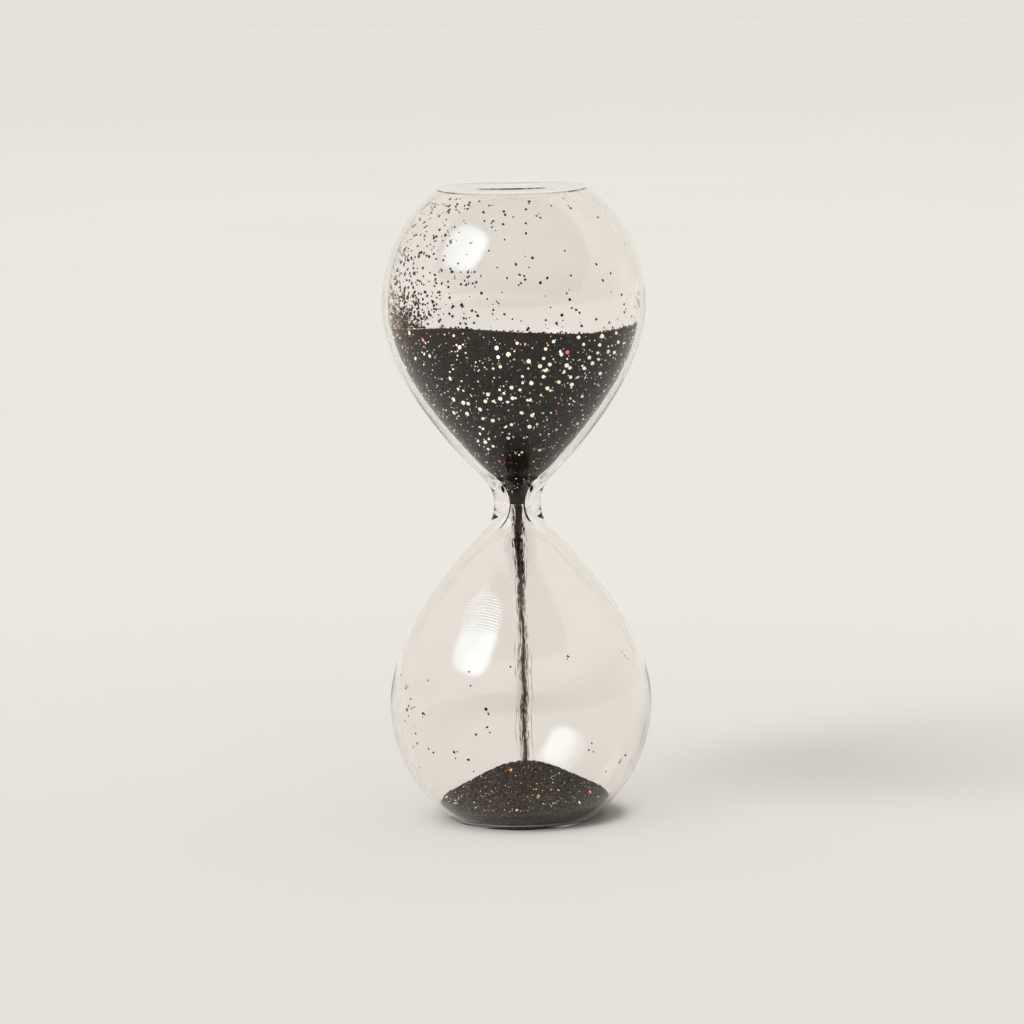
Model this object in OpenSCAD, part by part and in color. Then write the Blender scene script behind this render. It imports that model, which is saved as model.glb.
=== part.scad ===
// Frameless blown-glass hourglass, running, with black glitter sand.
// Two mirrored bulbs are fused at a thick waist whose bore meters the sand.
// Each end is dished, so the glass stands on a narrow flat ring.
// Millimetres, +Z up, origin at the centre of the ring that is down.
// Outlines are lists of [radius, height], with height measured from the bulb's own end.

/* [Glass] */
// Overall height, ring to ring
height = 160; // [150:1:170]
// Outside diameter of a bulb at its widest circle
bulb_d = 66; // [62:1:70]
// Height of that widest circle above the bulb's own end
equator_h = 29.5; // [28:0.5:32]
// Wall thickness at the widest circle
wall = 1.4; // [1.2:0.1:1.8]
// Thickness of the glass at the ring and the dish
end_wall = 1.7; // [1.5:0.1:2.2]
// Outside diameter of the waist
waist_d = 11.8; // [11:0.2:13.4]
// Diameter of the metering bore at the middle of the waist
orifice_d = 4.5; // [3.8:0.1:5.2]
// Outside diameter of the flat ring at each end
ring_d = 35.6; // [34:0.2:37]
// Width of the flat ring
ring_w = 2; // [1:0.5:4]
// Depth of the dish inside the ring
dish_depth = 2.1; // [1.6:0.1:2.6]
// Diameter of the flat centre of the dish
dish_flat_d = 13.6; // [12:0.2:16]

/* [Fill seal] */
// Diameter of the hole that the sand was poured in through
fill_hole_d = 4.4; // [3:0.2:6]
// Diameter of the glass button melted over that hole
seal_d = 7; // [6.2:0.2:9]
// How far the button stands proud of the dish, towards the ring
seal_proud = 1.1; // [0.6:0.1:1.4]

/* [Sand] */
// Height of the sand surface in the upper bulb
sand_level = 125.4; // [115:0.2:126]
// Slope at which that surface falls away towards the back, in degrees
back_fall = 12.5; // [5:0.5:16]
// Diameter of the crater over the bore
crater_d = 26; // [16:1:32]
// Depth of the crater
crater_depth = 4; // [2:0.5:6]
// Height of the top of the heap in the lower bulb
heap_top = 13.6; // [12.5:0.1:16]
// Slope of the heap's side, in degrees
heap_slope = 28; // [26:1:32]
// How far the heap's rounded top lies under the tip of its cone
heap_crown = 2.5; // [1.5:0.1:3]
// Clear gap between sand and glass
sand_gap = 0.3; // [0.25:0.05:0.4]
// Diameter of the falling stream where it leaves the bore
stream_top_d = 3.5; // [2.4:0.1:3.6]
// Diameter of the stream where it lands
stream_foot_d = 2.2; // [1.6:0.1:2.6]

/* [Grains and flakes] */
// Sand grains clinging to the glass above the sand
upper_grains = 110; // [20:10:160]
// Sand grains clinging to the glass of the lower bulb
lower_grains = 24; // [8:2:60]
// Radius of the largest clinging grain
grain_r = 0.3; // [0.2:0.05:0.4]
// Glitter flakes pressed between the upper sand and the glass
funnel_flakes = 80; // [20:10:120]
// Glitter flakes lying on the heap
heap_flakes = 36; // [12:4:60]
// Width of a flake across its corners
flake_d = 0.8; // [0.5:0.1:1]

/* [Hidden] */

glass_tint = [0.90, 0.92, 0.90, 0.3];
seal_tint = [0.80, 0.84, 0.80, 0.6];
sand_black = [0.11, 0.10, 0.09];
grain_black = [0.05, 0.04, 0.04];
flake_silver = [0.86, 0.84, 0.78];

half = height / 2;
// the neck is its own piece between the two heights at which the bulbs' funnels end
neck_reach = 9.5;
funnel_h = half - neck_reach;

outer_r = bulb_d / 2;
inner_r = outer_r - wall;
ring_out_r = ring_d / 2;
ring_in_r = ring_out_r - ring_w;
dish_flat_r = dish_flat_d / 2;
// the round end of a bulb is part of an ellipse, a little taller than the end itself
outer_end_b = 1.183 * equator_h;
inner_end_b = 1.152 * equator_h;
// where the ellipse gives way to the tight turn into the ring, in degrees under the equator
outer_turn = 54;
inner_turn = 51;
// outside and inside radius where funnel and neck meet, and the lean of each wall there
outer_join_r = 11.2;
outer_lean = 43.5;
inner_join_r = 8.6;
inner_lean = 45.5;

curve_steps = 16;
short_steps = 8;
flake_t = 0.08;
golden_angle = 137.508;
$fn = 48;

// ---- outlines -------------------------------------------------------------------

function bezier_point(p, t) =
    pow(1 - t, 3) * p[0] + 3 * t * pow(1 - t, 2) * p[1]
    + 3 * t * t * (1 - t) * p[2] + pow(t, 3) * p[3];

function bezier_slope(p, t) =
    pow(1 - t, 2) * (p[1] - p[0]) + 2 * t * (1 - t) * (p[2] - p[1]) + t * t * (p[3] - p[2]);

// the points of a curve, without its first
function bezier(p, steps) = [for (i = [1:steps]) bezier_point(p, i / steps)];

function reversed(points) = [for (i = [len(points) - 1:-1:0]) points[i]];

function mirrored_up(points) = [for (p = reversed(points)) [p.x, height - p.y]];

function ellipse_point(r, b, turn) = [r * cos(turn), equator_h - b * sin(turn)];

function ellipse_slope(r, b, turn) = [r * sin(turn), b * cos(turn)];

// the round end of a bulb, from the ring's turn up to the widest circle
function end_arc(r, b, turn) = [for (i = [1:curve_steps]) ellipse_point(r, b, turn * (1 - i / curve_steps))];

// the short curve from a flat ring or floor into the ellipse
function end_turn(r, b, turn, flat_end) =
    let (top = ellipse_point(r, b, turn), low = top - 0.04 * ellipse_slope(r, b, turn))
    bezier([flat_end, [(flat_end.x + low.x) / 2, flat_end.y], low, top], short_steps);

// the dish, from its flat centre to the ring
function dish(centre_h, ring_h, ring_r) =
    concat([[0, centre_h], [dish_flat_r, centre_h]],
        bezier([[dish_flat_r, centre_h], [dish_flat_r + 3, centre_h], [ring_r - 3, ring_h], [ring_r, ring_h]],
            short_steps));

function lean_way(lean) = [-sin(lean), cos(lean)];

// control points of the outer funnel wall, widest circle to neck
outer_funnel = [
    [outer_r, equator_h],
    [outer_r, equator_h + 19],
    [outer_join_r, funnel_h] - 3 * lean_way(outer_lean),
    [outer_join_r, funnel_h]
];

// the same for a wall that lies `inset` inside the inner glass surface
function inner_funnel(inset) =
    let (join = [inner_join_r - 1.4 * inset, funnel_h])
    [
        [inner_r - inset, equator_h],
        [inner_r - inset, equator_h + 8],
        join - 28 * lean_way(inner_lean),
        join
    ];

outer_waist = [
    [outer_join_r, funnel_h],
    [outer_join_r, funnel_h] + 6.5 * lean_way(outer_lean),
    [waist_d / 2, half - 3.5],
    [waist_d / 2, half]
];

function inner_waist(inset) =
    let (join = [inner_join_r - 1.4 * inset, funnel_h])
    [
        join,
        join + 5.2 * lean_way(inner_lean),
        [orifice_d / 2 - inset, half - 3.9],
        [orifice_d / 2 - inset, half]
    ];

// the inside of a bulb from its floor to its funnel's end, `inset` inside the glass
function bulb_inside(inset) =
    let (floor_h = end_wall + inset, r = inner_r - inset, b = inner_end_b - inset)
    concat(
        dish(dish_depth + floor_h, floor_h, ring_in_r - inset),
        end_turn(r, b, inner_turn, [ring_in_r - inset, floor_h]),
        end_arc(r, b, inner_turn),
        bezier(inner_funnel(inset), curve_steps)
    );

bulb_outside = concat(
    dish(dish_depth, 0, ring_in_r),
    [[ring_out_r, 0]],
    end_turn(outer_r, outer_end_b, outer_turn, [ring_out_r, 0]),
    end_arc(outer_r, outer_end_b, outer_turn),
    bezier(outer_funnel, curve_steps)
);

// ---- glass ----------------------------------------------------------------------

module bulb_glass() {
    rotate_extrude() polygon(concat(bulb_outside, reversed(bulb_inside(0))));
}

module upper_bulb() {
    color(glass_tint) translate([0, 0, height]) mirror([0, 0, 1]) bulb_glass();
}

module lower_bulb() {
    color(glass_tint) difference() {
        bulb_glass();
        fill_hole(1);
    }
}

// the hole through the dish, run on by `extra` past both faces
module fill_hole(extra) {
    translate([0, 0, dish_depth - extra]) cylinder(h = end_wall + 2 * extra, d = fill_hole_d);
}

module neck() {
    outside = concat([outer_waist[0]], bezier(outer_waist, short_steps));
    inside = concat([inner_waist(0)[0]], bezier(inner_waist(0), short_steps));
    low = concat(outside, reversed(inside));
    color(glass_tint) rotate_extrude() union() {
        polygon(low);
        polygon(mirrored_up(low));
    }
}

module fill_seal() {
    button = [[0, dish_depth - seal_proud], [seal_d * 0.3, dish_depth - seal_proud],
        [seal_d * 0.55, dish_depth - seal_proud], [seal_d / 2, dish_depth]];
    color(seal_tint) union() {
        fill_hole(0);
        rotate_extrude() polygon(concat([button[0]], bezier(button, short_steps), [[0, dish_depth]]));
    }
}

// ---- sand -----------------------------------------------------------------------

// the whole space inside a bulb and its half of the bore, less the gap to the glass
module room_for_sand() {
    rotate_extrude() polygon(concat(
        bulb_inside(sand_gap), bezier(inner_waist(sand_gap), short_steps), [[0, half]]));
}

module upper_sand() {
    color(sand_black) difference() {
        translate([0, 0, height]) mirror([0, 0, 1]) room_for_sand();
        // everything over the level surface
        translate([-bulb_d, -bulb_d, sand_level]) cube([2 * bulb_d, 2 * bulb_d, height]);
        // the back half of the surface slopes down
        translate([0, 0, sand_level]) rotate([-back_fall, 0, 0]) translate([-bulb_d, -bulb_d, 0])
            cube([2 * bulb_d, 2 * bulb_d, half / 2]);
        // the crater over the bore
        translate([0, 0, sand_level - crater_depth])
            cylinder(h = 2 * crater_depth, r1 = 0.5, r2 = crater_d);
    }
}

stream_top_r = stream_top_d / 2;
stream_foot_r = stream_foot_d / 2;

module sand_stream() {
    side = [[stream_top_r, half], [stream_top_r, half - 24], [stream_foot_r, half - 30], [stream_foot_r, heap_top]];
    color(sand_black) rotate_extrude() polygon(concat(
        [[0, half], side[0]], bezier(side, curve_steps), [[0, heap_top]]));
}

heap_tip = heap_top + heap_crown;
crown_r = 7.5;

function heap_height(r) = heap_tip - r * tan(heap_slope);

// the heap's outline from where the stream lands to well past the glass
heap_crown_curve = [
    [stream_foot_r, heap_top],
    [4.5, heap_top],
    [crown_r - 1.8, heap_height(crown_r - 1.8)],
    [crown_r, heap_height(crown_r)]
];

module lower_sand() {
    color(sand_black) intersection() {
        room_for_sand();
        rotate_extrude() polygon(concat(
            [[0, heap_top], heap_crown_curve[0]],
            bezier(heap_crown_curve, short_steps),
            [[outer_r, heap_height(outer_r)], [outer_r, -height], [0, -height]]));
    }
}

// ---- grains on the glass --------------------------------------------------------

// a point inside the glass: t from 0 to 1 runs down the funnel, 0 to -1 round the bulb's end
function wall_point(t, inset) =
    t >= 0 ? bezier_point(inner_funnel(inset), t)
    : ellipse_point(inner_r - inset, inner_end_b - inset, -t * inner_turn);

// places a child on the inner wall, at distance `t` along it and at `turn` degrees round it
module on_wall(t, inset, turn) {
    p = wall_point(t, inset);
    rotate([0, 0, turn]) translate([p.x, 0, p.y]) children();
}

// grains from the sand line up, thickest on the left (-X) side
module upper_wall_grains() {
    spread = rands(0, 1, 3 * upper_grains, 13);
    color(grain_black) translate([0, 0, height]) mirror([0, 0, 1]) for (i = [0:upper_grains - 1]) {
        along = 0.1 - 1.05 * pow(spread[3 * i], 1.6);
        swing = 170 * pow(spread[3 * i + 1], 1.5) * (i % 2 == 0 ? 1 : -1);
        size = grain_r * (0.5 + 0.5 * spread[3 * i + 2]);
        on_wall(along, size + 0.08, 195 + swing) sphere(r = size);
    }
}

module lower_wall_grains() {
    spread = rands(0, 1, 2 * lower_grains, 23);
    color(grain_black) for (i = [0:lower_grains - 1]) {
        size = grain_r * (0.5 + 0.5 * spread[2 * i]);
        on_wall(0.35 - 0.9 * spread[2 * i + 1], size + 0.08, i * golden_angle) sphere(r = size);
    }
}

// ---- glitter --------------------------------------------------------------------

module flake() {
    cylinder(h = flake_t, d = flake_d, center = true, $fn = 6);
}

// flakes held flat in the gap between the upper sand and the glass
module upper_glitter() {
    spread = rands(0, 1, funnel_flakes, 37);
    color(flake_silver) translate([0, 0, height]) mirror([0, 0, 1]) for (i = [0:funnel_flakes - 1]) {
        along = 0.26 + 0.72 * spread[i];
        slope = bezier_slope(inner_funnel(0), along);
        on_wall(along, sand_gap / 2, i * golden_angle)
            rotate([0, atan2(slope.y, -slope.x), 0]) rotate([0, 0, 47 * i]) flake();
    }
}

// flakes lying on the straight side of the heap, between its crown and the glass
module lower_glitter() {
    near = crown_r + 0.5;
    far = 19;
    color(flake_silver) for (i = [0:heap_flakes - 1]) {
        r = sqrt(near * near + (far * far - near * near) * (i + 0.5) / heap_flakes);
        rotate([0, 0, i * golden_angle]) translate([r, 0, heap_height(r) + 0.14])
            rotate([0, heap_slope, 0]) rotate([0, 0, 31 * i]) flake();
    }
}

upper_bulb();
neck();
lower_bulb();
fill_seal();
upper_sand();
sand_stream();
lower_sand();
upper_wall_grains();
lower_wall_grains();
upper_glitter();
lower_glitter();
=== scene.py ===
"""Looks of the frameless hourglass: blown glass, black glitter sand caught while it runs.

Lengths in this script are millimetres unless a name or comment says otherwise; every mesh is scaled
to metres as it is made. Outlines are arrays of [radius, height], height from the bulb's own end.
"""

import math

import bpy
import numpy as np
from mathutils import Euler, Matrix, Vector


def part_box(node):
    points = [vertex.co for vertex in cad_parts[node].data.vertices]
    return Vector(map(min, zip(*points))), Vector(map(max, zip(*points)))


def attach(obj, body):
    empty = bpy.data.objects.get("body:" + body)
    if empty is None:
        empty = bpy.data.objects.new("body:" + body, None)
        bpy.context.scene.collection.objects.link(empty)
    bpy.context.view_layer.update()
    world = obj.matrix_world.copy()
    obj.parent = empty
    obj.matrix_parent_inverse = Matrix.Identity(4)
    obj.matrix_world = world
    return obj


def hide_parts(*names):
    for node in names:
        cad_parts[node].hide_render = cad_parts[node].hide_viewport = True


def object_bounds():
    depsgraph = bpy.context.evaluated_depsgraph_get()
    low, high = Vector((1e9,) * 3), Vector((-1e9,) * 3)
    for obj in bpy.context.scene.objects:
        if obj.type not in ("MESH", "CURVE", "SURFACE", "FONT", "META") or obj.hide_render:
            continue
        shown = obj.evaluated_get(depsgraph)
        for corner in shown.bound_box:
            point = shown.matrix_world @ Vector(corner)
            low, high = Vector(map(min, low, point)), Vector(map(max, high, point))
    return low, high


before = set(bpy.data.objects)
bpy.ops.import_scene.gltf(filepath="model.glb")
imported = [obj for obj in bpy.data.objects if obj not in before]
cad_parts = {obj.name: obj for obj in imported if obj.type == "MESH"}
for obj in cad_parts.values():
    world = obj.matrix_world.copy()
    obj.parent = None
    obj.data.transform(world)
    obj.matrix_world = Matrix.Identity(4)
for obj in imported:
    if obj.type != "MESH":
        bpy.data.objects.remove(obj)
cad_low, cad_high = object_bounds()

MM = 0.001


# ---- driving sizes ----

def low_of(node):
    return np.array(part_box(node)[0]) / MM


def high_of(node):
    return np.array(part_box(node)[1]) / MM


height = (cad_high.z - cad_low.z) / MM
half = height / 2
outer_r = cad_high.x / MM
funnel_h = low_of("neck")[2]     # where the lower bulb joins the neck
join_r = high_of("neck")[0]
sand_level = high_of("upper_sand")[2]
heap_top = high_of("lower_sand")[2]
seal_low = low_of("fill_seal")[2]
seal_r = high_of("fill_seal")[0]
dish_depth = 2.1
end_wall = 1.4
wall = 1.4
equator_h = 29.5                 # height of the lower bulb's widest circle
ring_out_r = 17.8
ring_in_r = 15.8
dish_flat_r = 6.8
waist_r = 5.9
orifice_r = 2.25
fill_hole_r = 2.2
inner_join_r = 8.6
outer_lean = math.radians(43.5)  # the funnel's lean from upright at the join
inner_lean = math.radians(45.5)
inner_r = outer_r - wall
outer_end_b = 1.183 * equator_h  # upright half axis of the ellipse round a bulb's end
inner_end_b = 1.152 * equator_h
outer_turn = math.radians(54)    # how far down that ellipse the outline follows it
inner_turn = math.radians(51)
heap_slope = math.tan(math.radians(28))
heap_crown = 2.5                 # what the rounded crown takes off the cone's tip
sand_r = 31.2                    # where the upper sand meets the glass

GLASS_GAP = 0.12                 # from the glass to where sand and flakes are set
SOFTBOX_WAY = Vector((-0.633, -0.396, 0.663)).normalized()  # from the timer to the soft box
ROUND = 224                      # points round a glass surface

# how far each curve's handles reach from its ends
DISH_HANDLE = 3.0
CORNER_HANDLE = 0.04             # as a share of the ellipse's axes
INNER_FUNNEL_HANDLES = (8.0, 28.0)
INNER_WAIST_HANDLES = (5.2, 3.9)
OUTER_FUNNEL_HANDLES = (19.0, 3.0)
OUTER_WAIST_HANDLES = (6.5, 3.5)
JOIN_INSET = 1.4                 # how far in the join moves for each millimetre of inset
RING_FILLET = 0.9                # how much wider the inner ring is than the outer one


# ---- outlines ----

def bezier(points, steps, first=False):
    t = np.linspace(0, 1, steps + 1)[0 if first else 1:, None]
    a, b, c, d = (np.array(p, float) for p in points)
    return (1 - t) ** 3 * a + 3 * t * (1 - t) ** 2 * b + 3 * t * t * (1 - t) * c + t ** 3 * d


def lean_way(lean):
    return np.array([-math.sin(lean), math.cos(lean)])


def dish_outline(centre_h, ring_h, ring_r, steps):
    flat = np.linspace([0, centre_h], [dish_flat_r, centre_h], 6)
    return np.vstack([flat, bezier([[dish_flat_r, centre_h], [dish_flat_r + DISH_HANDLE, centre_h],
                                    [ring_r - DISH_HANDLE, ring_h], [ring_r, ring_h]], steps)])


def end_outline(r, b, turn, flat_end, steps):
    """From the ring or floor through the tight turn and round the bulb's end to its widest circle."""
    top = np.array([r * math.cos(turn), equator_h - b * math.sin(turn)])
    low = top - CORNER_HANDLE * np.array([r * math.sin(turn), b * math.cos(turn)])
    corner = bezier([flat_end, [(flat_end[0] + low[0]) / 2, flat_end[1]], low, top], steps // 4)
    angle = turn * (1 - np.arange(1, steps + 1) / steps)
    arc = np.column_stack([r * np.cos(angle), equator_h - b * np.sin(angle)])
    return np.vstack([corner, arc])


def inner_funnel(inset, steps):
    join = np.array([inner_join_r - JOIN_INSET * inset, funnel_h])
    rise, back = INNER_FUNNEL_HANDLES
    return bezier([[inner_r - inset, equator_h], [inner_r - inset, equator_h + rise],
                   join - back * lean_way(inner_lean), join], steps)


def inner_waist(inset, steps):
    join = np.array([inner_join_r - JOIN_INSET * inset, funnel_h])
    ahead, drop = INNER_WAIST_HANDLES
    return bezier([join, join + ahead * lean_way(inner_lean),
                   [orifice_r - inset, half - drop], [orifice_r - inset, half]], steps, first=True)


def outer_waist(steps):
    join = np.array([join_r, funnel_h])
    ahead, drop = OUTER_WAIST_HANDLES
    return bezier([join, join + ahead * lean_way(outer_lean), [waist_r, half - drop], [waist_r, half]],
                  steps, first=True)


def bulb_outside(steps):
    join = np.array([join_r, funnel_h])
    rise, back = OUTER_FUNNEL_HANDLES
    funnel = bezier([[outer_r, equator_h], [outer_r, equator_h + rise],
                     join - back * lean_way(outer_lean), join], steps)
    return np.vstack([dish_outline(dish_depth, 0, ring_in_r, steps // 3), [[ring_out_r, 0]],
                      end_outline(outer_r, outer_end_b, outer_turn, [ring_out_r, 0], steps), funnel])


def bulb_inside(inset, steps):
    floor_h = end_wall + inset
    ring_r = ring_in_r + RING_FILLET - inset
    return np.vstack([
        dish_outline(dish_depth + floor_h, floor_h, ring_r, steps // 3),
        end_outline(inner_r - inset, inner_end_b - inset, inner_turn, [ring_r, floor_h], steps),
        inner_funnel(inset, steps)])


def flipped(outline):
    """The same outline for the upper bulb, with heights from the foot."""
    return np.column_stack([outline[:, 0], height - outline[:, 1]])


# ---- meshes ----

def mesh_object(name, points_mm, faces, materials, smooth=True, kinds=None):
    mesh = bpy.data.meshes.new(name)
    mesh.from_pydata((np.asarray(points_mm) * MM).tolist(), [], faces)
    for material in materials:
        mesh.materials.append(material)
    if kinds is not None:
        mesh.polygons.foreach_set("material_index", np.asarray(kinds, dtype=np.int32))
    mesh.polygons.foreach_set("use_smooth", np.full(len(mesh.polygons), smooth))
    mesh.update()
    piece = bpy.data.objects.new(name, mesh)
    bpy.context.scene.collection.objects.link(piece)
    return piece


def hand_in(piece, node_names):
    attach(piece, "root")
    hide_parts(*node_names)


def grid_faces(rows, segments, start=0):
    """Quads between `rows` rings of `segments` points, facing out when the rings climb."""
    ring = np.arange(segments)
    after = (ring + 1) % segments
    faces = []
    for row in range(rows - 1):
        low = start + row * segments
        high = low + segments
        faces += np.column_stack([low + ring, low + after, high + after, high + ring]).tolist()
    return faces


def ring_points(outline, segments):
    angle = np.arange(segments) * 2 * math.pi / segments
    r = outline[:, 0][:, None]
    z = np.repeat(outline[:, 1][:, None], segments, axis=1)
    return np.stack([r * np.cos(angle), r * np.sin(angle), z], axis=-1).reshape(-1, 3)


def end_fans(pole, last, segments):
    """Triangles from the first ring to `pole` and from the ring starting at `last` to the next point."""
    pairs = [(side, (side + 1) % segments) for side in range(segments)]
    return [[pole, b, a] for a, b in pairs] + [[pole + 1, last + a, last + b] for a, b in pairs]


def revolve_closed(name, outline, materials, sharp_rows, join_rows, segments=ROUND):
    """A solid turned from a closed outline that starts and ends on the axis or is a loop.

    join_rows are the rows whose band to the next row gets the second material, and sharp_rows
    the rings that stay crisp.
    """
    on_axis = outline[0, 0] < 1e-6
    rows = outline[1:-1] if on_axis else outline
    points = ring_points(rows, segments)
    faces = grid_faces(len(rows), segments)
    kinds = np.repeat([int(row in join_rows) for row in range(len(rows) - 1)], segments).tolist()
    last = (len(rows) - 1) * segments
    if on_axis:
        faces += end_fans(len(points), last, segments)
        points = np.vstack([points, [[0, 0, outline[0, 1]], [0, 0, outline[-1, 1]]]])
        kinds += [0] * (2 * segments)
    else:
        ring = np.arange(segments)
        after = (ring + 1) % segments
        faces += np.column_stack([last + ring, last + after, after, ring]).tolist()
        kinds += [int(len(rows) - 1 in join_rows)] * segments
    piece = mesh_object(name, points, faces, materials, kinds=kinds)
    sharp = {row % len(rows) for row in sharp_rows}
    ends = np.empty(len(piece.data.edges) * 2, dtype=np.int32)
    piece.data.edges.foreach_get("vertices", ends)
    row_of = ends.reshape(-1, 2) // segments
    crisp = (row_of[:, 0] == row_of[:, 1]) & np.isin(row_of[:, 0], list(sharp))
    mark = piece.data.attributes.new("sharp_edge", "BOOLEAN", "EDGE")
    mark.data.foreach_set("value", crisp)
    return piece


# ---- materials ----

GLASS_IOR = 1.47
GUIDED_BOUNCES = 5.5    # a ray with more bounces than this leaves the glass
CLEAR = (0.985, 0.972, 0.964)
CLEAR_SHADE = (0.975, 0.97, 0.965)
STRIAE_SCALE = (30, 30, 260)
STRIAE_DEPTH = 0.008
RIPPLE_CENTRE = (-14.0, -29.0, 36.0)
RIPPLE_PATCH = (-9.5, -22.5, 56.0)
RIPPLE_PITCH = 0.75
RIPPLE_DEPTH = 0.03
PATCH_FULL = 4.0        # radius of the patch at full depth
PATCH_END = 8.0         # radius at which the last ripple is gone
WAVE_PITCH = 0.314      # distance between the wave texture's rings at scale 1
SAND_GRAIN = 0.40       # size of the cells that shade the sand


class Nodes:
    """A small helper round one material's node tree."""

    def __init__(self, name):
        self.material = bpy.data.materials.new(name)
        self.material.use_nodes = True
        self.tree = self.material.node_tree
        self.tree.nodes.clear()

    def add(self, kind, **settings):
        node = self.tree.nodes.new("ShaderNode" + kind)
        for key, value in settings.items():
            setattr(node, key, value)
        return node

    def link(self, source, target):
        self.tree.links.new(source, target)

    def output(self, shader):
        self.link(shader, self.add("OutputMaterial").inputs["Surface"])
        return self.material


def set_inputs(node, values):
    for key, value in values.items():
        node.inputs[key].default_value = value


def ramp(nodes, source, stops):
    node = nodes.add("ValToRGB")
    while len(node.color_ramp.elements) < len(stops):
        node.color_ramp.elements.new(0.5)
    for element, (place, colour) in zip(node.color_ramp.elements, stops):
        element.position = place
        element.color = (*colour, 1)
    nodes.link(source, node.inputs["Fac"])
    return node.outputs["Color"]


def object_coordinates(nodes, scale=(1, 1, 1)):
    place = nodes.add("TexCoord")
    mapping = nodes.add("Mapping")
    mapping.inputs["Scale"].default_value = scale
    nodes.link(place.outputs["Object"], mapping.inputs["Vector"])
    return mapping.outputs["Vector"]


def striae(nodes):
    """Faint drawn lines that run round the glass."""
    lines = nodes.add("TexNoise")
    set_inputs(lines, {"Scale": 1.0, "Detail": 1.0, "Roughness": 0.4})
    nodes.link(object_coordinates(nodes, STRIAE_SCALE), lines.inputs["Vector"])
    bump = nodes.add("Bump")
    set_inputs(bump, {"Strength": 1.0, "Distance": STRIAE_DEPTH * MM})
    nodes.link(lines.outputs["Fac"], bump.inputs["Height"])
    return bump


def from_point(nodes, centre):
    """The vector from a point given in millimetres."""
    shift = nodes.add("VectorMath", operation="SUBTRACT")
    nodes.link(nodes.add("TexCoord").outputs["Object"], shift.inputs[0])
    shift.inputs[1].default_value = tuple(c * MM for c in centre)
    return shift.outputs["Vector"]


def ripples(nodes):
    """Fine arcs round a centre, pressed only into one round patch of the wall."""
    wave = nodes.add("TexWave", wave_type="RINGS", rings_direction="SPHERICAL")
    set_inputs(wave, {"Scale": WAVE_PITCH / (RIPPLE_PITCH * MM), "Distortion": 1.6,
                      "Detail": 1.0, "Detail Scale": 0.3})
    nodes.link(from_point(nodes, RIPPLE_CENTRE), wave.inputs["Vector"])
    distance = nodes.add("VectorMath", operation="LENGTH")
    nodes.link(from_point(nodes, RIPPLE_PATCH), distance.inputs[0])
    fade = nodes.add("MapRange", interpolation_type="SMOOTHSTEP")
    set_inputs(fade, {"From Min": PATCH_FULL * MM, "From Max": PATCH_END * MM,
                      "To Min": 1.0, "To Max": 0.0})
    nodes.link(distance.outputs["Value"], fade.inputs["Value"])
    bump = nodes.add("Bump")
    set_inputs(bump, {"Distance": RIPPLE_DEPTH * MM})
    nodes.link(fade.outputs["Result"], bump.inputs["Strength"])
    nodes.link(wave.outputs["Fac"], bump.inputs["Height"])
    return bump


def glass_material(name, tint, shadow_tint, rippled=False):
    """Clear blown glass that lets through the light that falls on the sand and the floor.

    A ray caught between the two faces of the wall leaves it after GUIDED_BOUNCES.
    """
    nodes = Nodes(name)
    body = nodes.add("BsdfPrincipled")
    set_inputs(body, {"Base Color": (*tint, 1), "Transmission Weight": 1.0, "Roughness": 0.0,
                      "IOR": GLASS_IOR})
    bump = striae(nodes)
    if rippled:
        fine = ripples(nodes)
        nodes.link(bump.outputs["Normal"], fine.inputs["Normal"])
        bump = fine
    nodes.link(bump.outputs["Normal"], body.inputs["Normal"])
    clear = nodes.add("BsdfTransparent")
    set_inputs(clear, {"Color": (*shadow_tint, 1)})
    light_path = nodes.add("LightPath")
    passes = nodes.add("Math", operation="MAXIMUM")
    nodes.link(light_path.outputs["Is Shadow Ray"], passes.inputs[0])
    nodes.link(light_path.outputs["Is Diffuse Ray"], passes.inputs[1])
    guided = nodes.add("Math", operation="GREATER_THAN")
    nodes.link(light_path.outputs["Ray Depth"], guided.inputs[0])
    guided.inputs[1].default_value = GUIDED_BOUNCES
    leaves = nodes.add("Math", operation="MAXIMUM")
    nodes.link(passes.outputs["Value"], leaves.inputs[0])
    nodes.link(guided.outputs["Value"], leaves.inputs[1])
    mix = nodes.add("MixShader")
    nodes.link(leaves.outputs["Value"], mix.inputs["Fac"])
    nodes.link(body.outputs["BSDF"], mix.inputs[1])
    nodes.link(clear.outputs["BSDF"], mix.inputs[2])
    return nodes.output(mix.outputs["Shader"])


def join_material():
    """The flame join between two glass pieces: the faces that meet there don't show."""
    nodes = Nodes("glass_join")
    clear = nodes.add("BsdfTransparent")
    set_inputs(clear, {"Color": (1, 1, 1, 1)})
    return nodes.output(clear.outputs["BSDF"])


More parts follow.
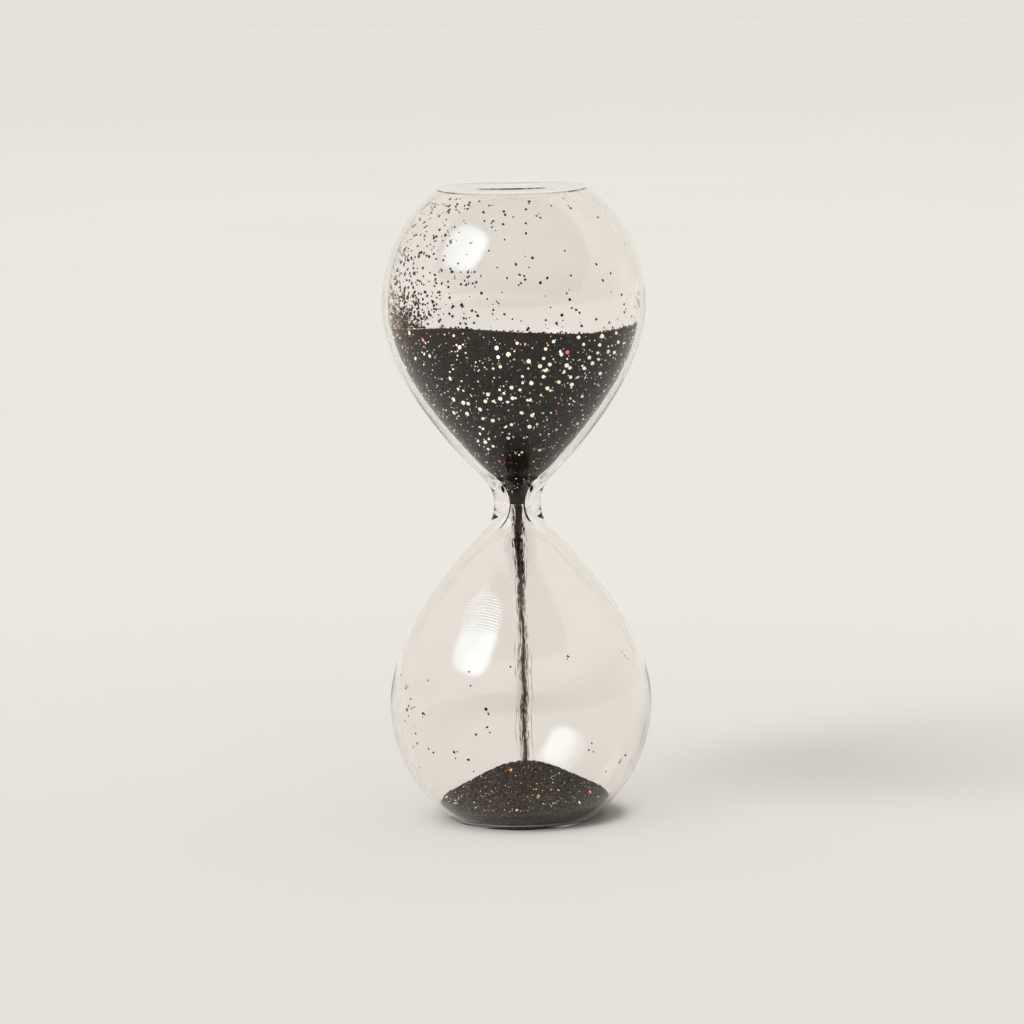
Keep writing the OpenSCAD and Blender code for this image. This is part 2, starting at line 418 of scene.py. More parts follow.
def sand_material(name, dark, mid, light):
    """Dry black sand: each grain has its own shade of warm black and its own gloss."""
    nodes = Nodes(name)
    where = object_coordinates(nodes)
    cells = nodes.add("TexVoronoi")
    set_inputs(cells, {"Scale": 1 / (SAND_GRAIN * MM), "Randomness": 1.0})
    nodes.link(where, cells.inputs["Vector"])
    shade = nodes.add("SeparateColor")
    nodes.link(cells.outputs["Color"], shade.inputs["Color"])
    body = nodes.add("BsdfPrincipled")
    set_inputs(body, {"Specular IOR Level": 0.22})
    shades = [(0.0, dark), (0.55, mid), (0.92, light), (1.0, light)]
    nodes.link(ramp(nodes, shade.outputs["Red"], shades), body.inputs["Base Color"])
    gloss = nodes.add("MapRange")
    set_inputs(gloss, {"To Min": 0.35, "To Max": 0.85})
    nodes.link(shade.outputs["Green"], gloss.inputs["Value"])
    nodes.link(gloss.outputs["Result"], body.inputs["Roughness"])
    bump = nodes.add("Bump")
    set_inputs(bump, {"Strength": 0.35, "Distance": SAND_GRAIN * MM * 0.5})
    bump.invert = True
    nodes.link(cells.outputs["Distance"], bump.inputs["Height"])
    nodes.link(bump.outputs["Normal"], body.inputs["Normal"])
    return nodes.output(body.outputs["BSDF"])


def film_material(name, colour, metallic, roughness):
    """Cut holographic film; its tone shifts a little from flake to flake."""
    nodes = Nodes(name)
    body = nodes.add("BsdfPrincipled")
    set_inputs(body, {"Metallic": metallic, "Roughness": roughness,
                      "Coat Weight": 0.4, "Coat Roughness": 0.15})
    tone = nodes.add("TexNoise")
    set_inputs(tone, {"Scale": 700.0, "Detail": 1.0})
    nodes.link(object_coordinates(nodes), tone.inputs["Vector"])
    deep = tuple(c * 0.92 for c in colour)
    tones = ramp(nodes, tone.outputs["Fac"], [(0.35, deep), (0.65, colour)])
    nodes.link(tones, body.inputs["Base Color"])
    return nodes.output(body.outputs["BSDF"])


def grain_material(name, colour, roughness):
    """Dull loose grains, each somewhere between the colour and half of it."""
    nodes = Nodes(name)
    body = nodes.add("BsdfPrincipled")
    set_inputs(body, {"Roughness": roughness, "Specular IOR Level": 0.15})
    tone = nodes.add("TexNoise")
    set_inputs(tone, {"Scale": 1500.0, "Detail": 2.0})
    nodes.link(object_coordinates(nodes), tone.inputs["Vector"])
    deep = tuple(c * 0.5 for c in colour)
    tones = ramp(nodes, tone.outputs["Fac"], [(0.3, deep), (0.7, colour)])
    nodes.link(tones, body.inputs["Base Color"])
    return nodes.output(body.outputs["BSDF"])


GLASS = glass_material("clear_glass", CLEAR, CLEAR_SHADE)
RIPPLED_GLASS = glass_material("rippled_glass", CLEAR, CLEAR_SHADE, rippled=True)
SEAL_GLASS = glass_material("seal_glass", (0.93, 0.95, 0.92), (0.93, 0.94, 0.92))
JOIN = join_material()
SAND = sand_material("black_sand", (0.003, 0.0015, 0.0), (0.009, 0.005, 0.0015), (0.038, 0.025, 0.010))
HEAP_SAND = sand_material("heap_sand", (0.005, 0.002, 0.001), (0.014, 0.009, 0.004),
                          (0.072, 0.052, 0.031))
STREAM_SAND = grain_material("stream_sand", (0.036, 0.022, 0.012), 0.6)
STREAM_DUST = grain_material("stream_dust", (0.26, 0.20, 0.15), 0.7)
FILM_LOOKS = {          # colour, metallic, roughness
    "pearl": ((1.0, 0.97, 0.92), 0.1, 0.35),
    "cream": ((1.0, 0.91, 0.76), 0.15, 0.35),
    "silver": ((0.80, 0.78, 0.74), 0.6, 0.3),
    "gold": ((0.95, 0.55, 0.20), 0.3, 0.35),
    "rose": ((0.85, 0.26, 0.24), 0.3, 0.35),
    "green": ((0.05, 0.60, 0.20), 0.3, 0.35),
    "teal": ((0.10, 0.42, 0.38), 0.3, 0.35),
    "blue": ((0.12, 0.24, 0.80), 0.3, 0.35),
    "dim": ((0.16, 0.14, 0.12), 0.2, 0.4),
}
SPECK_LOOKS = {         # colour, roughness
    "black": ((0.004, 0.0035, 0.003), 0.7),
    "umber": ((0.05, 0.025, 0.012), 0.6),
    "brown": ((0.24, 0.10, 0.04), 0.5),
    "bronze": ((0.50, 0.30, 0.16), 0.4),
    "pale": ((0.45, 0.42, 0.38), 0.5),
}
FILM = {name: film_material("film_" + name, *look) for name, look in FILM_LOOKS.items()}
SPECK = {name: grain_material("speck_" + name, *look) for name, look in SPECK_LOOKS.items()}


# ---- glass ----

BULB_STEPS = 60         # points along each curve of a bulb's outline
NECK_STEPS = 48
SEAL_STEPS = 24


def bulb_glass(name, node, upside_down, fill_hole):
    outside = bulb_outside(BULB_STEPS)
    inside = bulb_inside(0, BULB_STEPS)
    if fill_hole:
        # the hole's wall takes the place of the middle of the dish, so the outline is a ring
        outside = np.vstack([[[fill_hole_r, dish_depth]], outside[outside[:, 0] > fill_hole_r]])
        inside = np.vstack([[[fill_hole_r, dish_depth + end_wall]], inside[inside[:, 0] > fill_hole_r]])
    outline = np.vstack([outside, inside[::-1]])
    seam = len(outside) - 1
    if upside_down:
        outline = flipped(outline)[::-1]
        seam = len(outline) - 1 - len(outside)
    first = 0 if fill_hole else 1
    joins = [seam - first]
    if fill_hole:
        joins.append(len(outline) - 1)
    sharp = [row for start in joins for row in (start, start + 1)]
    glass = RIPPLED_GLASS if fill_hole else GLASS
    piece = revolve_closed(name, outline, [glass, JOIN], sharp_rows=sharp, join_rows=joins)
    hand_in(piece, [node])


def neck_glass():
    outside = outer_waist(NECK_STEPS)
    inside = inner_waist(0, NECK_STEPS)
    outside = np.vstack([outside, flipped(outside)[::-1][1:]])
    inside = np.vstack([inside, flipped(inside)[::-1][1:]])
    outline = np.vstack([outside, inside[::-1]])
    joins = [len(outside) - 1, len(outline) - 1]
    sharp = [row for start in joins for row in (start, start + 1)]
    piece = revolve_closed("neck_glass", outline, [GLASS, JOIN], sharp_rows=sharp, join_rows=joins)
    hand_in(piece, ["neck"])


def seal_button():
    """The glass button melted over the fill hole; its plug meets the hole's wall."""
    button = bezier([[0, seal_low], [seal_r * 0.6, seal_low], [seal_r * 1.1, seal_low],
                     [seal_r, dish_depth]], SEAL_STEPS, first=True)
    top = dish_depth + end_wall
    outline = np.vstack([button, [[fill_hole_r, dish_depth], [fill_hole_r, top], [0, top]]])
    wall_row = len(button) - 1
    piece = revolve_closed("seal_button", outline, [SEAL_GLASS, JOIN],
                           sharp_rows=[wall_row - 1, wall_row, wall_row + 1],
                           join_rows=[wall_row - 1, wall_row], segments=96)
    hand_in(piece, ["fill_seal"])


bulb_glass("upper_glass", "upper_bulb", upside_down=True, fill_hole=False)
bulb_glass("lower_glass", "lower_bulb", upside_down=False, fill_hole=True)
neck_glass()
seal_button()


# ---- sand ----

OCTAHEDRON = [(1, 0, 0), (0, 1, 0), (-1, 0, 0), (0, -1, 0), (0, 0, 1), (0, 0, -1)]
OCTAHEDRON_FACES = [(0, 1, 4), (1, 2, 4), (2, 3, 4), (3, 0, 4),
                    (1, 0, 5), (2, 1, 5), (3, 2, 5), (0, 3, 5)]
FALL_BACK = 0.16        # how much the upper sand drops for each millimetre back from the front glass
SHOULDER_RISE = 1.1     # the upper sand's high left shoulder
DIP_DEPTH = 0.9         # its low place at the right
BUMP_SPREAD = 9
CRATER_DEPTH = 4.0
CRATER_SPREAD = 130.0   # in square millimetres
HEAP_OFF = 0.3          # the heap's tip lies this much to the right
HEAP_LEAN = 0.03
CROWN_SOFTNESS = 1.1
SET_IN = 0.20           # upper sand to the gap's edge, so that whole flakes fit between
WALL_ROUGHNESS = 0.14
TOP_ROUGHNESS = 0.25
HEAP_ROUGHNESS = 0.35
UPPER_GRAINS = 1300
HEAP_GRAINS = 3600


class Scatter:
    """Collects many small flat plates and grains into one mesh."""

    def __init__(self, palette):
        self.points, self.faces, self.kinds = [], [], []
        self.names = list(palette)
        self.materials = list(palette.values())

    def plate(self, centre, normal, spin, radius, thickness, kind, sides=8, uneven=None):
        up = Vector(normal).normalized()
        turn = up.to_track_quat("Z", "Y").to_matrix()
        start = len(self.points)
        for level in (-0.5, 0.5):
            for i in range(sides):
                a = spin + 2 * math.pi * i / sides
                reach = radius * (1 if uneven is None else uneven[i])
                place = Vector((reach * math.cos(a), reach * math.sin(a), level * thickness))
                offset = turn @ place
                self.points.append([centre[0] + offset.x, centre[1] + offset.y, centre[2] + offset.z])
        below = [start + i for i in range(sides)]
        above = [start + sides + i for i in range(sides)]
        made = [below[::-1], above]
        for i in range(sides):
            after = (i + 1) % sides
            made.append([below[i], below[after], above[after], above[i]])
        self.faces += made
        self.kinds += [self.names.index(kind)] * len(made)

    def grain(self, centre, radius, random):
        """A grain with eight uneven faces."""
        start = len(self.points)
        for way in OCTAHEDRON:
            reach = radius * random.uniform(0.7, 1.2)
            self.points.append([c + w * reach for c, w in zip(centre, way)])
        self.faces += [[start + corner for corner in face] for face in OCTAHEDRON_FACES]

    def build(self, name, node):
        piece = mesh_object(name, self.points, self.faces, self.materials,
                            smooth=False, kinds=self.kinds)
        hand_in(piece, [node])


def bump_at(x, y, cx, cy):
    return np.exp(-((x - cx) ** 2 + (y - cy) ** 2) / (2 * BUMP_SPREAD ** 2))


def upper_surface(x, y):
    """Height of the upper sand: it falls away from the front glass, with a crater over the bore."""
    to_front = np.sqrt(np.maximum(sand_r ** 2 - x * x, 0))
    behind = np.maximum(y + to_front, 0)
    bumps = SHOULDER_RISE * bump_at(x, y, -15, -27) - DIP_DEPTH * bump_at(x, y, 19, -25)
    crater = CRATER_DEPTH * np.exp(-((x ** 2 + (y - 2) ** 2) / CRATER_SPREAD))
    return sand_level + 0.2 - FALL_BACK * behind + bumps - crater


def heap_surface(x, y):
    """Height of the heap: a cone with a rounded crown, a little higher on the right."""
    cone = heap_top + heap_crown - np.hypot(x - HEAP_OFF, y) * heap_slope
    either = np.exp(-cone / CROWN_SOFTNESS) + np.exp(-heap_top / CROWN_SOFTNESS)
    return -CROWN_SOFTNESS * np.log(either) + HEAP_LEAN * x


def wall_curve(upside_down):
    """Radius and height along the inside of the glass, less the gap, from the dish to the bore."""
    curve = np.vstack([bulb_inside(GLASS_GAP, 80), inner_waist(GLASS_GAP, 40)[1:]])
    return flipped(curve) if upside_down else curve


def climbing(curve):
    """The curve without the points that don't lie higher than the one before."""
    return curve[np.concatenate([[True], np.diff(curve[:, 1]) > 0])]


def polar_sheet(radius_rows, height_rows, segments):
    angle = np.arange(segments) * 2 * math.pi / segments
    return np.stack([radius_rows * np.cos(angle), radius_rows * np.sin(angle), height_rows], axis=-1)


def surface_grains(random, surface, reach, count):
    """Single grains lying on a surface out to a radius, which make its outline rough."""
    grains = Scatter({"sand": None})
    for _ in range(count):
        angle = random.uniform(0, 2 * math.pi)
        r = reach * math.sqrt(random.random())
        x, y = r * math.cos(angle), r * math.sin(angle)
        h = float(surface(x, y)) + random.uniform(0.15, 0.5)
        grains.grain((x, y, h), random.uniform(0.18, 0.36), random)
    return grains


def upper_sand_piece(random):
    segments, wall_rows, top_rows = 520, 118, 60
    angle = np.arange(segments) * 2 * math.pi / segments
    curve = wall_curve(True)[::-1]  # from the bore up
    climb = curve[curve[:, 1] < height - equator_h + 1]
    contact_h = upper_surface(sand_r * np.cos(angle), sand_r * np.sin(angle))
    foot_h = half + 0.2
    share = np.interp(np.linspace(0, 1, wall_rows), *even_steps(climb, foot_h, sand_level))
    wall_h = foot_h + share[:, None] * (contact_h - foot_h)[None, :]
    wall_r = np.interp(wall_h, climb[:, 1], climb[:, 0])
    wall_r = wall_r - SET_IN - WALL_ROUGHNESS * random.random(wall_r.shape)
    inward = np.linspace(1, 0, top_rows)[1:-1][:, None]
    top_r = wall_r[-1][None, :] * inward
    top_h = upper_surface(top_r * np.cos(angle), top_r * np.sin(angle))
    top_h = top_h + TOP_ROUGHNESS * random.random(top_r.shape)
    r = np.vstack([wall_r, top_r])
    h = np.vstack([wall_h, top_h])
    centre_h = float(upper_surface(0.0, 0.0))
    closed_sheet("upper_sand_body", r, h, foot_h, centre_h, SAND, ["upper_sand"],
                 surface_grains(random, upper_surface, sand_r - 1.0, UPPER_GRAINS))


def even_steps(curve, low, high):
    """(length share, height share) along a climbing curve, for spacing rows evenly."""
    part = curve[(curve[:, 1] > low) & (curve[:, 1] < high)]
    step = np.hypot(*np.diff(part, axis=0).T)
    length = np.concatenate([[0], np.cumsum(step)])
    return length / length[-1], (part[:, 1] - part[0, 1]) / (part[-1, 1] - part[0, 1])


def closed_sheet(name, r, h, first_h, last_h, material, node_names, loose):
    """A closed body from rings that run up its wall and in over its top, and the grains on it."""
    rows, segments = r.shape
    points = polar_sheet(r, h, segments).reshape(-1, 3)
    faces = grid_faces(rows, segments)
    faces += end_fans(len(points), (rows - 1) * segments, segments)
    points = np.vstack([points, [[0, 0, first_h], [0, 0, last_h]]])
    start = len(points)
    points = np.vstack([points, loose.points])
    faces += [[start + corner for corner in face] for face in loose.faces]
    piece = mesh_object(name, points, faces, [material])
    hand_in(piece, node_names)


def contact_heights(rise, angle):
    """Height at which the heap meets the glass on each bearing, found by halving."""
    low = np.full(len(angle), rise[0, 1])
    high = np.full(len(angle), 12.0)
    for _ in range(30):
        middle = (low + high) / 2
        r = np.interp(middle, rise[:, 1], rise[:, 0])
        above = heap_surface(r * np.cos(angle), r * np.sin(angle)) > middle
        low = np.where(above, middle, low)
        high = np.where(above, high, middle)
    return (low + high) / 2


def heap_piece(random):
    segments, wall_rows, top_rows = 400, 16, 88
    angle = np.arange(segments) * 2 * math.pi / segments
    curve = bulb_inside(GLASS_GAP, 80)
    curve = curve[curve[:, 1] < equator_h]
    rise = curve[curve[:, 0] > ring_in_r]
    contact_h = contact_heights(rise, angle)
    floor = curve[curve[:, 0] <= ring_in_r][1:]
    floor_r = np.repeat(floor[:, :1], segments, axis=1)
    floor_h = np.repeat(floor[:, 1:], segments, axis=1)
    share = np.linspace(0, 1, wall_rows)[1:, None]
    wall_h = rise[0, 1] + share * (contact_h - rise[0, 1])[None, :]
    wall_r = np.interp(wall_h, rise[:, 1], rise[:, 0])
    inward = np.linspace(1, 0, top_rows)[1:-1][:, None]
    top_r = wall_r[-1][None, :] * inward
    top_h = heap_surface(top_r * np.cos(angle), top_r * np.sin(angle))
    top_h = top_h + HEAP_ROUGHNESS * random.random(top_r.shape)
    r = np.vstack([floor_r, wall_r, top_r])
    h = np.vstack([floor_h, wall_h, top_h])
    closed_sheet("heap_body", r, h, floor[0, 1], heap_top, HEAP_SAND, ["lower_sand"],
                 surface_grains(random, heap_surface, 20.6, HEAP_GRAINS))


random = np.random.default_rng(7)
upper_sand_piece(random)
heap_piece(random)


# ---- falling stream ----

STREAM_TOP = half + 0.1
CORE_STRANDS = 130
TOP_STRANDS = 10         # thick ones that fill the bore
THREADS = 1100
DUST_STRANDS = 560
HAIRS = 70               # the finest, well out to the sides, low down
FLARE_STREAKS = ((math.pi, 74.0, 0.24), (0.0, 75.5, 0.36))    # bearing, lowest height, thickness


def tube(path, radii, sides, points, faces):
    """Adds a closed tube along an upright path to the lists of points and faces."""
    start = len(points)
    angle = np.arange(sides) * 2 * math.pi / sides
    for centre, radius in zip(path, radii):
        for a in angle:
            x, y = centre[0] + radius * math.cos(a), centre[1] + radius * math.sin(a)
            points.append([x, y, centre[2]])
    rows = len(path)
    faces += grid_faces(rows, sides, start)
    faces.append([start + i for i in reversed(range(sides))])
    faces.append([start + (rows - 1) * sides + i for i in range(sides)])


def stream_spread(h):
    """Half the stream's width at height h: loose a little below the bore, drawn in as it falls."""
    return np.interp(h, [heap_top, 30, 56, 61, 66, 70, 73, 77, 79, half],
                     [1.0, 1.0, 1.1, 1.2, 1.4, 1.7, 1.4, 1.3, 1.55, 2.05])


def stream_middle(h):
    """Where the middle of the stream is at height h: it drifts to the right and wanders."""
    drift = np.interp(h, [heap_top, 45, 62, half], [0.75, 0.8, 0.35, 0.0])
    wander = np.interp(h, [heap_top, 66, half], [0.12, 0.15, 0.0])
    return drift + wander * np.sin(h * 0.42 + 0.8), wander * np.cos(h * 0.35)


def denser(h):
    """Thickness of the threads at height h, as a multiple: they thin as they fall faster."""
    return float(np.interp(h, [heap_top, 50, 64, half], [0.75, 1.0, 1.9, 2.6]))


def strand(random, low, high, out, thickness, points, faces, sides=6):
    """One thread of falling grains; `out` is how far out it lies, as a share of the spread."""
    rows = max(4, int((high - low) / 0.5))
    h = np.linspace(low, high, rows)
    bearing = random.uniform(0, 2 * math.pi) + random.uniform(-0.02, 0.02) * (h - low)
    spread = stream_spread(h)
    weave = 0.05 * np.sin(h * random.uniform(0.4, 1.1) + random.uniform(0, 2 * math.pi))
    distance = spread * np.maximum(out + weave, 0)
    middle_x, middle_y = stream_middle(h)
    x = middle_x + distance * np.cos(bearing)
    y = middle_y + distance * np.sin(bearing)
    path = np.column_stack([x, y, h])
    ends = np.sin(np.linspace(0.12, math.pi - 0.12, rows)) ** 0.5
    tube(path, thickness * ends, sides, points, faces)


def flare_streak(bearing, low, high, thickness, points, faces):
    """Dark streaks down the inside of the neck's flare, thickest at their foot."""
    curve = inner_waist(GLASS_GAP + thickness, 40)
    h = np.linspace(low, high, 24)
    r = np.interp(h, curve[:, 1], curve[:, 0])
    path = np.column_stack([r * math.cos(bearing), r * math.sin(bearing), h])
    share = np.linspace(0, 1, 24)
    radii = thickness * np.interp(share, [0, 0.12, 0.4, 1], [0.35, 1.0, 0.75, 0.55])
    tube(path, radii, 8, points, faces)


def sand_stream_piece(random):
    """The core, the threads round it and the loose dust beside it, all drawn out by their fall."""
    points, faces = [], []
    low = heap_top - 0.2
    for _ in range(CORE_STRANDS):
        start = random.uniform(low - 4, half - 5)
        strand(random, max(start, low), min(start + random.uniform(2.5, 7), STREAM_TOP),
               abs(random.normal(0, 0.25)), random.uniform(0.06, 0.12) * denser(start), points, faces)
    for _ in range(TOP_STRANDS):
        strand(random, half - random.uniform(3, 8), STREAM_TOP, random.uniform(0.0, 0.7),
               random.uniform(0.35, 0.6), points, faces, sides=8)
    for _ in range(THREADS):
        start = random.uniform(low - 1, half - 1)
        end = min(start + random.uniform(0.5, 2.4), STREAM_TOP)
        out = min(abs(random.normal(0, 0.5)), 1.05)
        thickness = random.uniform(0.03, 0.065) * denser(start)
        strand(random, max(start, low), end, out, thickness, points, faces)
    dark_faces = len(faces)
    for _ in range(DUST_STRANDS):
        start = random.uniform(low - 1, half - 2)
        strand(random, max(start, low), min(start + random.uniform(0.6, 4), STREAM_TOP),
               random.uniform(0.1, 1.4), random.uniform(0.03, 0.055), points, faces, sides=5)
    for _ in range(HAIRS):
        start = random.uniform(heap_top + 2, 46)
        end = start + random.uniform(1, 5)
        strand(random, start, end, random.uniform(1.6, 2.6), 0.03, points, faces, sides=5)
    kinds = [0] * dark_faces + [1] * (len(faces) - dark_faces)
    for bearing, streak_low, thickness in FLARE_STREAKS:
        flare_streak(bearing, streak_low, half + 1.0, thickness, points, faces)
    kinds += [0] * (len(faces) - len(kinds))
    piece = mesh_object("stream_strands", points, faces, [STREAM_SAND, STREAM_DUST], kinds=kinds)
    hand_in(piece, ["sand_stream"])


sand_stream_piece(random)


# ---- flakes and specks ----

def wall_frame(curve, h, angle):
    """Point on the wall at height h and bearing, and the wall's outward normal there."""
    r, above, below = (float(np.interp(at, curve[:, 1], curve[:, 0])) for at in (h, h + 0.3, h - 0.3))
    slope = (above - below) / 0.6
    out = Vector((math.cos(angle), math.sin(angle), -slope)).normalized()
    return Vector((r * math.cos(angle), r * math.sin(angle), h)), out


def pick(random, shares):
    names = list(shares)
    weights = np.array([shares[n] for n in names], float)
    return names[random.choice(len(names), p=weights / weights.sum())]


SPARKLE_SHARES = {"pearl": 40, "cream": 22, "silver": 8, "gold": 5, "rose": 8,
                  "green": 4, "teal": 4, "blue": 4, "dim": 5}
BRIGHT_SHARES = {"pearl": 60, "cream": 34, "green": 2, "blue": 2}
FLAKE_CLUSTERS = [       # bearing in degrees, height, how many
    (-74, 117, 30),
    (-50, 120, 14),
    (-96, 107, 20),
    (-112, 100, 14),
    (-132, 118, 5),
    (-120, 104, 8),
]
LOWEST_BRIGHT = 95.5     # the big flakes stay above the dark core over the bore
BRIGHT_APART = 1.4
BRIGHT_R = 25            # the wall's radius where they lie
WALL_FLAKES = 3400       # fewer stay where the funnel is narrow
TOP_FLAKES = 900
HEAP_FLAKES = 2200
BIG_ONE_IN = 130
FLAKE_THICKNESS = 0.04
UPPER_CLUMPS = 900
LOWER_CLUMPS = 34
SPECK_THICKNESS = 0.07


def flake_on_wall(random, flakes, curve, h, angle, radius, shares, lean):
    """A flake between sand and glass; `lean` is how far it is tipped towards the soft box."""
    place, out = wall_frame(curve, h, angle)
    facing = (out + Vector(random.normal(0, 0.12, 3)) + SOFTBOX_WAY * lean).normalized()
    inset = radius * facing.cross(out).length - 0.06
    flakes.plate(place - out * inset, facing, random.uniform(0, 2 * math.pi), radius,
                 FLAKE_THICKNESS, pick(random, shares))


def flake_on_surface(random, flakes, surface, reach, rise, radius, shares):
    """A flake lying on a surface somewhere within a radius, turned a little any way."""
    angle = random.uniform(0, 2 * math.pi)
    r = reach * math.sqrt(random.random())
    x, y = r * math.cos(angle), r * math.sin(angle)
    slope_x = float(surface(x + 0.2, y) - surface(x - 0.2, y)) / 0.4
    slope_y = float(surface(x, y + 0.2) - surface(x, y - 0.2)) / 0.4
    out = Vector((-slope_x, -slope_y, 1)).normalized() + Vector(random.normal(0, 0.35, 3))
    flakes.plate((x, y, float(surface(x, y)) + rise), out, random.uniform(0, 2 * math.pi), radius,
                 FLAKE_THICKNESS, pick(random, shares))


def sand_height_at(angle):
    """Height at which the upper sand meets the glass on a bearing."""
    return float(upper_surface(sand_r * math.cos(angle), sand_r * math.sin(angle)))


def upper_flakes(random):
    flakes = Scatter(FILM)
    rise = climbing(wall_curve(True)[::-1])
    for _ in range(WALL_FLAKES):
        angle = random.uniform(0, 2 * math.pi)
        h = random.uniform(half + 3.0, sand_height_at(angle) - 0.6)
        place, _ = wall_frame(rise, h, angle)
        if random.random() > math.hypot(place.x, place.y) / sand_r:
            continue
        radius = min(0.10 + random.exponential(0.07), 0.5) * np.interp(h, [86, 97], [0.7, 1.0])
        flake_on_wall(random, flakes, rise, h, angle, radius, SPARKLE_SHARES, random.uniform(0.0, 0.4))
    taken = []
    for bearing, height_there, count in FLAKE_CLUSTERS:
        for _ in range(count):
            angle = math.radians(random.normal(bearing, 13))
            h = min(random.normal(height_there, 4.0), sand_height_at(angle) - 0.8)
            crowded = any(math.hypot(BRIGHT_R * (angle - other), h - other_h) < BRIGHT_APART
                          for other, other_h in taken)
            if crowded or h < LOWEST_BRIGHT:
                continue
            taken.append((angle, h))
            flake_on_wall(random, flakes, rise, h, angle, random.uniform(0.40, 0.62), BRIGHT_SHARES, 0.3)
    for _ in range(TOP_FLAKES):
        flake_on_surface(random, flakes, upper_surface, sand_r - 1.2, 0.24, random.uniform(0.10, 0.28),
                         {**SPARKLE_SHARES, "dim": 90})
    flakes.build("upper_flakes", "upper_glitter")


def heap_flakes(random):
    flakes = Scatter(FILM)
    for i in range(HEAP_FLAKES):
        big = i % BIG_ONE_IN == 0
        radius = random.uniform(0.38, 0.56) if big else random.uniform(0.08, 0.19)
        shares = {"pearl": 5, "gold": 3, "rose": 1} if big else {**SPARKLE_SHARES, "dim": 240}
        flake_on_surface(random, flakes, heap_surface, 20.3, 0.32, radius, shares)
    flakes.build("heap_flakes", "lower_glitter")


DARK_SHARES = {"black": 82, "umber": 8, "brown": 4, "bronze": 3, "pale": 3}
EDGE_SHARES = {"black": 46, "umber": 16, "brown": 16, "bronze": 12, "pale": 10}


def wall_specks(random, name, node, clumps, upside_down, place_of, radius_of):
    """Loose grains held on the glass; many lie in small clumps that slid down together."""
    specks = Scatter(SPECK)
    curve = wall_curve(upside_down)
    rise = climbing(curve[::-1] if upside_down else curve)
    for _ in range(clumps):
        angle, h, floor_h = place_of(random)
        for _ in range(1 + int(random.exponential(0.9))):
            grain_angle = angle + random.normal(0, 0.022)
            grain_h = max(h + random.normal(0, 0.9), floor_h)
            place, out = wall_frame(rise, grain_h, grain_angle)
            kind = pick(random, EDGE_SHARES if math.cos(grain_angle) < -0.86 else DARK_SHARES)
            uneven = random.uniform(0.55, 1.2, 5)
            specks.plate(place - out * 0.03, out + Vector(random.normal(0, 0.08, 3)),
                         random.uniform(0, 2 * math.pi), radius_of(random), SPECK_THICKNESS, kind,
                         sides=5, uneven=uneven)
    specks.build(name, node)


def upper_speck_place(random):
    """A thick drift at the left over the sand, a cloud above it, and a few everywhere."""
    share = random.random()
    if share < 0.52:
        angle, rise = math.radians(random.normal(211, 9)), random.exponential(3.0)
    elif share < 0.90:
        angle, rise = math.radians(random.normal(212, 32)), random.uniform(0, 33)
    else:
        angle, rise = random.uniform(0, 2 * math.pi), random.exponential(7)
    floor_h = sand_height_at(angle) + 0.4
    return angle, min(floor_h + rise, height - 4.6), floor_h


def upper_speck_radius(random):
    return random.uniform(0.15, 0.46)


def lower_speck_place(random):
    """Anywhere on the lower bulb's glass, more often at the left."""
    at_left = random.random() < 0.6
    angle = random.normal(math.radians(200), 0.8) if at_left else random.uniform(0, 2 * math.pi)
    return angle, random.uniform(9, 44), 8.0


def lower_speck_radius(random):
    return random.uniform(0.20, 0.44)


upper_flakes(random)
heap_flakes(random)
wall_specks(random, "upper_specks", "upper_wall_grains", UPPER_CLUMPS, True,
            upper_speck_place, upper_speck_radius)
wall_specks(random, "lower_specks", "lower_wall_grains", LOWER_CLUMPS, False,
            lower_speck_place, lower_speck_radius)


# ---- stage, light and camera ----

FLOOR_RINGS = [400, 1500, 6000, 40000, 400000]
FLOOR_SIDES = 96
FLOOR_COLOUR = (0.522, 0.518, 0.517)
FLOOR_PAINTED_SHADE = [(-250, 450, 0.955, 1.0), (1200, 9000, 1.0, 0.955)]    # painted shade on the floor, darker towards the camera and far away: start, end, tone at each
ROOM_COLOUR = (0.838, 0.815, 0.762)
SOFTBOX_WIDTH = math.radians(33)
SOFTBOX_HEIGHT = math.radians(29)
SOFTBOX_LIGHT = (13.5, 13.4, 13.1)
SOFTBOX_SHEEN = (2.9, 3.7, 4.1)         # what its diffuser shows in the glass
SOFTBOX_DIM_SIDE = 0.55                 # its tone at the dim side, as a share of the bright side's
DIM_WAY = Vector((0.50, -0.86, 0.0)).normalized()    # where the room is dimmest in the glass
FILL_WAY = Vector((0.1, -1.0, 0.3)).normalized()
FILL_LIGHT = 1.5                        # soft fill beside the camera, kept out of the glass
LENS = 134.0
CAMERA_PLACE = (-1.4, -952.0, 200.0)
CAMERA_PITCH = math.radians(7.31)       # looking down
CAMERA_ROLL = math.radians(-1.05)
VIEW_GAMMA = 0.72
MOST_BOUNCES = 24


